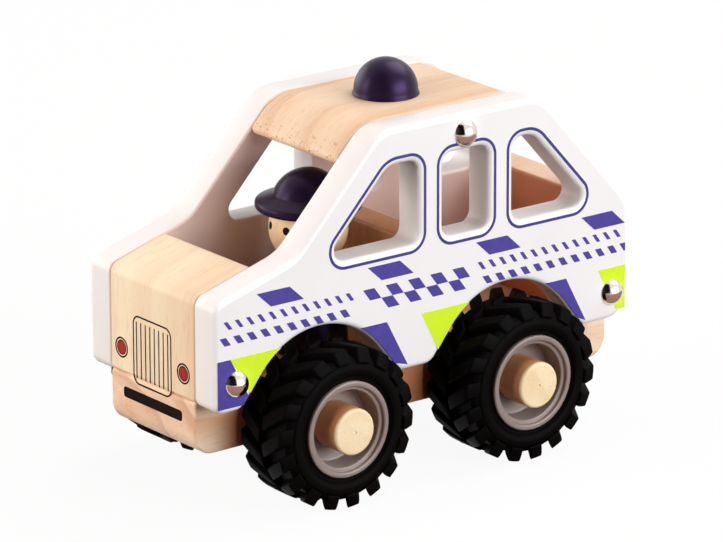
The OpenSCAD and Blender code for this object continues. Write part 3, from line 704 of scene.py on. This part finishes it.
def makeEyes(d):
    # each eye is a thin cap of the head's ball: rings of growing angle about the eye's direction, out and back
    parts, count, steps = [], d["eyeRings"], d["eyeSteps"]
    wide = np.linspace(0, d["eyeR"] / d["headR"], count)
    around = np.linspace(0, 2 * np.pi, steps, endpoint=False)
    ring, turn = (v[..., None] for v in np.meshgrid(np.concatenate([wide, wide[::-1]]), around, indexing="ij"))
    far = np.repeat([d["headR"] + d["eyeLift"], d["headR"] - d["eyeSink"]], count)[:, None, None]
    for x in (-d["eyeX"], d["eyeX"]):
        c = np.array([x, -math.sqrt(d["headR"] ** 2 - x ** 2 - d["eyeUp"] ** 2), d["eyeUp"]]) / d["headR"]
        a = np.cross([0, 0, 1.0], c) / np.linalg.norm(np.cross([0, 0, 1.0], c))
        b = np.cross(c, a)
        aim = np.cos(ring) * c + np.sin(ring) * (np.cos(turn) * a + np.sin(turn) * b)
        spot = (aim * far).reshape(-1, 3) + np.array([0, d["y"], d["headZ"]])
        parts.append((spot, [gridFaces(2 * count, steps, True)]))
    makePiece("driverEyes", parts, blackInk, "body")


makeDriver(driver)
makeEyes(driver)
print("driver made")

# wheels: a turned peg, a moulded hub and a tractor tyre with leaning lugs
wheel = {
    "axleZ": 25.5, "axleY": {"front": -39.392, "rear": 31.904}, "inX": 22.7, "outX": 44.9, "coreX": 21.7,
    "tyreR": 25.5, "boreR": 14.2035, "sideR": 20.643, "tyreSteps": 72, "fit": 0.02,
    "lugH": 2.824, "lugs": 18, "lugW": 4.9, "lugFlare": 0.9, "lugTurn": 17.0, "lugRoot": 0.5,
    "rowGap": 1.2, "tipShare": 0.88,
    "lipH": 0.95, "lipT": 1.5, "lipW": 1.75, "stepD": 1.3, "stepW": 1.25, "dishD": 8.7, "webT": 4.0,
    "bossR": 7.0, "hubEdge": 0.28, "lipEdge": 0.55, "stepEdge": 0.6, "dishEdge": 0.8, "hubSteps": 64,
    "pegR": 4.0, "pegDepth": 16.0, "headR": 7.3, "proud": 3.0, "pegEdge": 0.9, "seatEdge": 0.3,
    "markR": 0.5, "play": 0.4, "runGap": 0.05, "pegSteps": 48,
}


def pegProfile(w):
    # shank, head with a rounded rim, and a small centre mark
    end, seat, mark = w["outX"] + w["proud"], w["outX"] - w["dishD"] + w["play"], w["markR"]
    head = roundPath([[0, seat, 0], [w["headR"], seat, w["seatEdge"]],
                      [w["headR"], end, w["pegEdge"]], [mark, end, 0]], 10.0)[1:]
    tip = w["coreX"] - w["pegDepth"] + w["fit"]
    shank = [[0, tip], [w["pegR"], tip], [w["pegR"], seat]]
    return np.concatenate([shank, head, [[mark * 0.6, end - mark * 0.8], [0, end - mark]]])


def hubProfile(w):
    # bore, boss, web, inner barrel, lips over the tyre's bore, step and dish, and back to the bore
    lip, floor, out = w["boreR"] + w["lipH"], w["outX"] - w["dishD"], w["outX"]
    dish, barrel, bore = lip - w["lipW"] - w["stepW"], w["boreR"] - w["fit"], w["pegR"] + w["runGap"]
    hubIn, back, step, e = w["coreX"] + w["play"], floor - w["webT"], out - w["stepD"], w["hubEdge"]
    lipIn, lipOut, rim = w["inX"] + w["lipT"], out - w["lipT"], lip - w["lipW"]
    line = roundPath([
        [bore, hubIn, e], [w["bossR"], hubIn, e], [w["bossR"], back, e], [dish, back, e],
        [dish, w["inX"], e], [lip, w["inX"], e], [lip, lipIn, e], [barrel, lipIn, 0],
        [barrel, lipOut, 0], [lip, lipOut, e], [lip, out, w["lipEdge"]],
        [rim, out, w["stepEdge"]], [rim, step, e], [dish, step, w["stepEdge"]],
        [dish, floor, w["dishEdge"]], [bore, floor, 0]], 22.0)
    return np.concatenate([line, line[:1]])


def carcassProfile(w):
    # bead under the hub's lip, a groove beside it, the sidewall's ring, the shoulder and the bare tread,
    # mirrored; each corner is a radius, a distance from the tyre's middle and a rounding
    half, mid = (w["outX"] - w["inX"]) / 2, (w["outX"] + w["inX"]) / 2
    bead, seat = w["boreR"] + w["lipH"] + w["fit"], half - w["lipT"] - w["fit"]
    ring, top = w["sideR"], w["tyreR"] - w["lugH"]
    side = [
        [w["boreR"], seat, 0], [bead, seat, 0], [bead + 0.05, seat + 0.1, 0],
        [bead + 1.3, seat + 0.15, 0.5], [bead + 2.1, half - 0.45, 0.6], [bead + 3.5, half - 0.02, 1.8],
        [ring - 0.45, half - 0.3, 0.8], [ring + 0.1, half - 0.85, 0.4], [ring + 0.9, half - 1.3, 0.8],
        [top, half - 2.3, 1.0]]
    line = roundPath([[r, -x, e] for r, x, e in side[::-1]] + side, 12.0)
    return np.concatenate([line, line[:1]]) + np.array([0, mid])


def lugParts(w):
    # lug: its crest runs from the middle of the tread over the shoulder and down to the sidewall's ring, its
    # root under it inside the carcass, both as a distance from the tyre's middle and a radius; across the lug
    # the height follows a flat top with rounded flanks, and its place round the tyre leans by lugTurn towards
    # the middle
    half, mid, outer = (w["outX"] - w["inX"]) / 2, (w["outX"] + w["inX"]) / 2, w["tyreR"]
    top, side, a, tip = outer - w["lugH"], w["sideR"], w["rowGap"] / 2, w["tipShare"] * half
    under = top - w["lugRoot"]
    crest = np.array([
        [a, under], [a + 0.02, outer - 0.4], [a + 0.14, outer - 0.1], [a + 0.45, outer],
        [0.35 * half, outer], [0.6 * half, outer], [tip - 0.7, outer], [tip - 0.22, outer - 0.05],
        [tip + 0.06, outer - 0.3], [tip + 0.3, outer - 1.0], [tip + 0.8, outer - 2.65],
        [half - 0.13, side + 1.0], [half - 0.04, side + 0.62], [half - 0.25, side + 0.3], [half - 0.8, side + 0.1]])
    root = np.array([
        [a, under], [a + 0.02, under], [a + 0.14, under], [a + 0.45, under],
        [0.35 * half, under], [0.6 * half, under], [tip - 1.6, under], [tip - 1.2, top - 0.6],
        [tip - 0.9, top - 0.8], [tip - 0.6, top - 1.1], [tip - 0.35, side + 0.6],
        [tip - 0.2, side + 0.4], [tip - 0.1, side + 0.3], [tip, side + 0.2], [tip, side + 0.1]])
    u = np.array([-1.0, -0.96, -0.9, -0.8, 0.0, 0.8, 0.9, 0.96, 1.0])
    rise = np.array([0.0, 0.78, 0.95, 1.0, 1.0, 1.0, 0.95, 0.78, 0.0])
    line = root[:, None, :] + (crest - root)[:, None, :] * rise[None, :, None]
    s, r = line[..., 0], line[..., 1]
    wide = (w["lugW"] + w["lugFlare"] * np.clip((outer - r) / w["lugH"], 0, 1)) / 2 * u[None, :]
    angle = np.radians(w["lugTurn"]) * (1 - s / half) + wide / outer
    base = w["lugW"] / 2 / outer - np.radians(w["lugTurn"]) * (1 - w["tipShare"])
    rows, cols = s.shape
    rim = np.concatenate([np.arange(cols), np.arange(1, rows) * cols + cols - 1,
                          (rows - 1) * cols + np.arange(cols - 2, -1, -1), np.arange(rows - 2, 0, -1) * cols])
    parts = []
    for row, way in ((0.0, 1), (0.5, -1)):
        for k in range(w["lugs"]):
            t = base + (k + row) * 2 * np.pi / w["lugs"] + angle
            pts = np.stack([mid + way * s, r * np.sin(t), -r * np.cos(t)], -1)
            parts.append((pts.reshape(-1, 3), [gridFaces(rows, cols), rim[None, ::-1]]))
    return parts


def moved(parts, y, z, mirror):
    # parts to their place, turned over to the car's right where asked
    flip = np.array([-1 if mirror else 1, 1, 1])
    return [(v * flip + np.array([0, y, z]), blocks) for v, blocks in parts]


pegParts = [lathe(pegProfile(wheel), (0, 0, 0), "x", wheel["pegSteps"])]
hubParts = [lathe(hubProfile(wheel), (0, 0, 0), "x", wheel["hubSteps"])]
tyreParts = [lathe(carcassProfile(wheel), (0, 0, 0), "x", wheel["tyreSteps"])] + lugParts(wheel)
for end, y in wheel["axleY"].items():
    for side in ("left", "right"):
        tag, spot = end + "_" + side, (y, wheel["axleZ"], side == "right")
        peg, hub, tyre = (moved(parts, *spot) for parts in (pegParts, hubParts, tyreParts))
        makePiece("pegTurned_" + tag, peg, pegWood, "body", ["peg_" + tag])
        makePiece("hubMoulding_" + tag, hub, hubPlastic, "wheel_" + tag, ["hub_" + tag])
        makePiece("tyreTread_" + tag, tyre, tyreRubber, "wheel_" + tag, ["tyre_" + tag], 38)
print("wheels made")

# screws: polished domes on the panels
screw = {
    "headR": 4.35, "headH": 3.0, "rim": 0.15, "faceX": 32.2, "steps": 48,
    "spots": {"front": (-71.906, 43.4), "rear": (73.73, 43.4), "roof": (15.104, 105.8345)},
}


def screwProfile(s):
    # a cap of a ball on a thin rim
    ball = (s["headR"] ** 2 + s["headH"] ** 2) / (2 * s["headH"])
    start = math.degrees(math.asin((ball - s["headH"]) / ball))
    cap = arcProfile(ball, s["faceX"] + s["headH"] - ball, start, 90, 18)
    return np.concatenate([[[0, s["faceX"]], [s["headR"] - s["rim"], s["faceX"]]], cap])


screwPart = lathe(screwProfile(screw), (0, 0, 0), "x", screw["steps"])
for spot, (y, z) in screw["spots"].items():
    for side in ("left", "right"):
        tag, head = spot + "_" + side, moved([screwPart], y, z, side == "right")
        makePiece("screwDome_" + tag, head, screwChrome, "body", ["screw_" + tag])
print("screws made")

# floor, world, lamps and cards: azimuth and elevation in degrees as for the camera, lengths in m, power in W
studio = {
    "floorSize": 6.0, "floorGlow": 0.93, "floorSeen": (0.93, 0.93, 0.93), "floorBounce": (0.09, 0.055, 0.045),
    "ambient": (0.93, 0.32, 0.2), "ambientStrength": 0.13, "aimZ": 0.06,
    # azimuth, elevation, distance, size, power and colour
    "lamps": {
        "frontBox": (-12.0, 8.0, 1.8, 1.5, 43.0, (1.0, 0.98, 0.95)),
        "farBox": (-72.0, 8.0, 1.8, 1.5, 15.0, (1.0, 0.99, 0.97)),
        "sideBox": (108.0, 8.0, 1.8, 1.5, 50.0, (0.96, 1.0, 1.03)),
        "topBox": (180.0, 55.0, 1.8, 1.4, 23.0, (1.0, 1.0, 1.0)),
    },
    # azimuth, half the width, distance and height of the first and of the last edge, and colour
    "cards": {
        "darkCard": (26.0, 0.62, (0.6, 0.0), (0.6, 2.2), (0.004, 0.0035, 0.003)),
        "floorCardLeft": (90.0, 0.4, (0.034, 0.0006), (0.3, 0.0006), (0.38, 0.24, 0.2)),
        "floorCardRight": (-90.0, 0.4, (0.034, 0.0006), (0.3, 0.0006), (0.38, 0.24, 0.2)),
    },
}


def stagePlane(name, corners, material):
    # one flat face of the studio, attached to no body
    mesh = bpy.data.meshes.new(name)
    mesh.from_pydata([tuple(v) for v in corners], [], [(0, 1, 2, 3)])
    mesh.materials.append(material)
    obj = bpy.data.objects.new(name, mesh)
    bpy.context.collection.objects.link(obj)
    return obj


def seenRays(tree):
    # 1 for rays from the camera, off gloss and through glass, 0 for the rest
    path = addNode(tree, "ShaderNodeLightPath")
    value = path.outputs["Is Camera Ray"]
    for kind in ("Is Glossy Ray", "Is Transmission Ray"):
        most = addNode(tree, "ShaderNodeMath", operation="MAXIMUM")
        tree.links.new(value, most.inputs[0])
        tree.links.new(path.outputs[kind], most.inputs[1])
        value = most.outputs[0]
    return value


def makeFloor(size, glow, tone, bounce):
    # white for the camera and for gloss, with the shadow kept, and dark for the light that bounces
    m, tree, shader = newMaterial("studioFloor")
    shader.inputs["Base Color"].default_value = (*bounce, 1)
    shader.inputs["Roughness"].default_value = 0.9
    shader.inputs["Specular IOR Level"].default_value = 0.0
    seen = addNode(tree, "ShaderNodeBsdfDiffuse", Color=(*tone, 1))
    shine = addNode(tree, "ShaderNodeEmission", Color=(1, 1, 1, 1), Strength=1.0)
    lit, blend = addNode(tree, "ShaderNodeMixShader", Fac=glow), addNode(tree, "ShaderNodeMixShader")
    tree.links.new(seen.outputs[0], lit.inputs[1])
    tree.links.new(shine.outputs[0], lit.inputs[2])
    tree.links.new(seenRays(tree), blend.inputs[0])
    tree.links.new(shader.outputs[0], blend.inputs[1])
    tree.links.new(lit.outputs[0], blend.inputs[2])
    tree.links.new(blend.outputs[0], tree.nodes["Material Output"].inputs["Surface"])
    s = size / 2
    stagePlane("studioFloor", [(-s, -s, 0), (s, -s, 0), (s, s, 0), (-s, s, 0)], m)


def makeCard(name, azimuth, half, first, last, colour):
    # a card which only gloss sees, as the dark side of a studio: its edges lie across the azimuth, each at its
    # own distance and height
    a = math.radians(azimuth)
    across = np.array([math.cos(a), math.sin(a), 0]) * half
    start, end = (np.array([math.sin(a) * far, -math.cos(a) * far, high]) for far, high in (first, last))
    m, tree, shader = newMaterial(name)
    shader.inputs["Base Color"].default_value = (*colour, 1)
    shader.inputs["Specular IOR Level"].default_value = 0.0
    obj = stagePlane(name, (start - across, start + across, end + across, end - across), m)
    obj.visible_camera = obj.visible_diffuse = obj.visible_shadow = False


def makeWorld(colour, strength):
    # a warm dim sky as fill, and white for the camera and for gloss
    world = bpy.data.worlds.new("studioWorld")
    bpy.context.scene.world = world
    world.use_nodes = True
    tree = world.node_tree
    fill = tree.nodes["Background"]
    fill.inputs["Color"].default_value, fill.inputs["Strength"].default_value = (*colour, 1), strength
    white = addNode(tree, "ShaderNodeBackground", Color=(1, 1, 1, 1), Strength=1.0)
    blend = addNode(tree, "ShaderNodeMixShader")
    tree.links.new(seenRays(tree), blend.inputs[0])
    tree.links.new(fill.outputs[0], blend.inputs[1])
    tree.links.new(white.outputs[0], blend.inputs[2])
    tree.links.new(blend.outputs[0], tree.nodes["World Output"].inputs["Surface"])


def makeLamp(name, azimuth, elevation, distance, size, power, colour):
    # a soft box on a ball about the car, turned to it
    a, e = np.radians([azimuth, elevation])
    data = bpy.data.lights.new(name, "AREA")
    data.shape, data.size, data.energy, data.color = "SQUARE", size, power, colour
    obj = bpy.data.objects.new(name, data)
    bpy.context.collection.objects.link(obj)
    way = Vector((math.sin(a) * math.cos(e), -math.cos(a) * math.cos(e), math.sin(e)))
    obj.location = way * distance + Vector((0, 0, studio["aimZ"]))
    obj.rotation_euler = way.to_track_quat("Z", "Y").to_euler()


makeFloor(*(studio[key] for key in ("floorSize", "floorGlow", "floorSeen", "floorBounce")))
makeWorld(studio["ambient"], studio["ambientStrength"])
for cardName, values in studio["cards"].items():
    makeCard(cardName, *values)
for lampName, values in studio["lamps"].items():
    makeLamp(lampName, *values)
bpy.context.scene.view_settings.view_transform = "Standard"
print("studio made")
